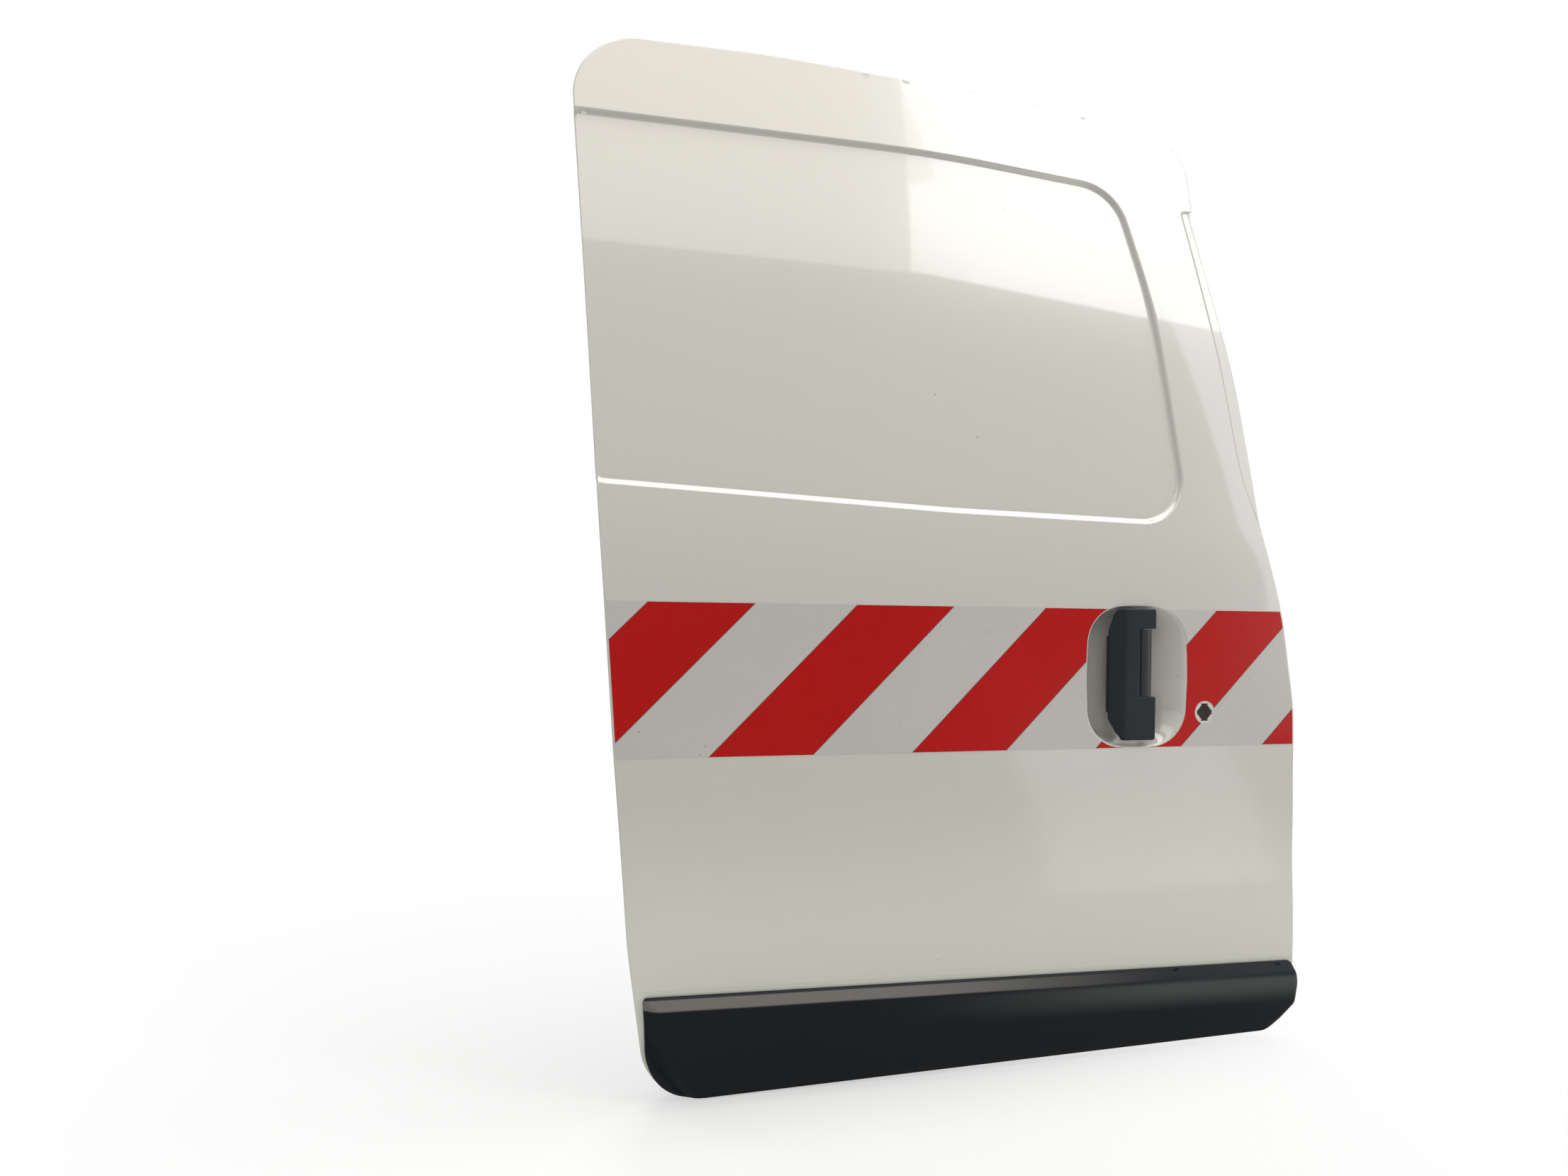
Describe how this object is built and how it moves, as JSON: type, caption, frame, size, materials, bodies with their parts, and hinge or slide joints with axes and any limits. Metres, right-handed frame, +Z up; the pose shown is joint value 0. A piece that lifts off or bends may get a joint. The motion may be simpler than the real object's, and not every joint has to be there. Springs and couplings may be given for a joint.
{
  "type": "van side sliding door, blank panel",
  "caption": "Right-hand sliding door of a mid-size van: blank pressed steel panel with pull handle, reflective band and lower moulding.",
  "frame": {"origin": "middle of the flat outer face of the centre hinge bracket, on the inside of the door", "axes": "+X towards the front of the van, +Y into the van, +Z up"},
  "size_m": [1.1254, 0.2032, 1.4625],
  "materials": {
    "white_paint": "gloss white enamel over pressed steel",
    "white_paint_inner": "semi-gloss white paint, thinner than outside",
    "primed_steel": "grey primed steel",
    "dark_coated_steel": "satin black dip coating",
    "zinc_plated_steel": "bright zinc plate",
    "yellow_zinc_steel": "yellow passivated zinc plate",
    "spring_steel": "oiled spring steel",
    "black_plastic": "moulded black plastic",
    "slate_plastic": "satin dark slate plastic",
    "moulding_plastic": "satin near-black plastic",
    "rubber": "matt black rubber",
    "mastic": "soft dark mastic",
    "white_film": "white reflective film",
    "red_film": "red reflective film"
  },
  "bodies": {
    "door": {"outer_skin": "white_paint", "inner_panel": "white_paint_inner", "panel_flange": "white_paint_inner", "waist_beam": "primed_steel", "crash_tube": "dark_coated_steel", "crash_tube_brackets": "primed_steel", "skin_brace": "primed_steel", "mastic_pads": "mastic", "centre_hinge_bracket": "dark_coated_steel", "upper_arm_bracket": "dark_coated_steel", "lower_arm_bracket": "dark_coated_steel", "front_latch": "zinc_plated_steel", "rear_latch": "zinc_plated_steel", "front_claw": "yellow_zinc_steel", "rear_claw": "yellow_zinc_steel", "guide_pins": "zinc_plated_steel", "rubber_buffers": "rubber", "inside_handle_base": "black_plastic", "inside_handle_lever": "black_plastic", "handle_carrier": "black_plastic", "handle_gasket": "rubber", "handle_pin": "zinc_plated_steel", "handle_spring": "spring_steel", "lower_moulding": "moulding_plastic", "tape_white": "white_film", "tape_red": "red_film"},
    "handle": {"handle_grip": "slate_plastic"}
  },
  "joints": [
    {"name": "handle_pull", "type": "hinge", "parent": "door", "child": "handle", "pos_m": [0.692, -0.069, -0.02], "axis": [0, 0, 1], "range_deg": [0, 28], "stiffness_Nm_per_rad": 0.6, "springref_deg": -14.32}
  ]
}
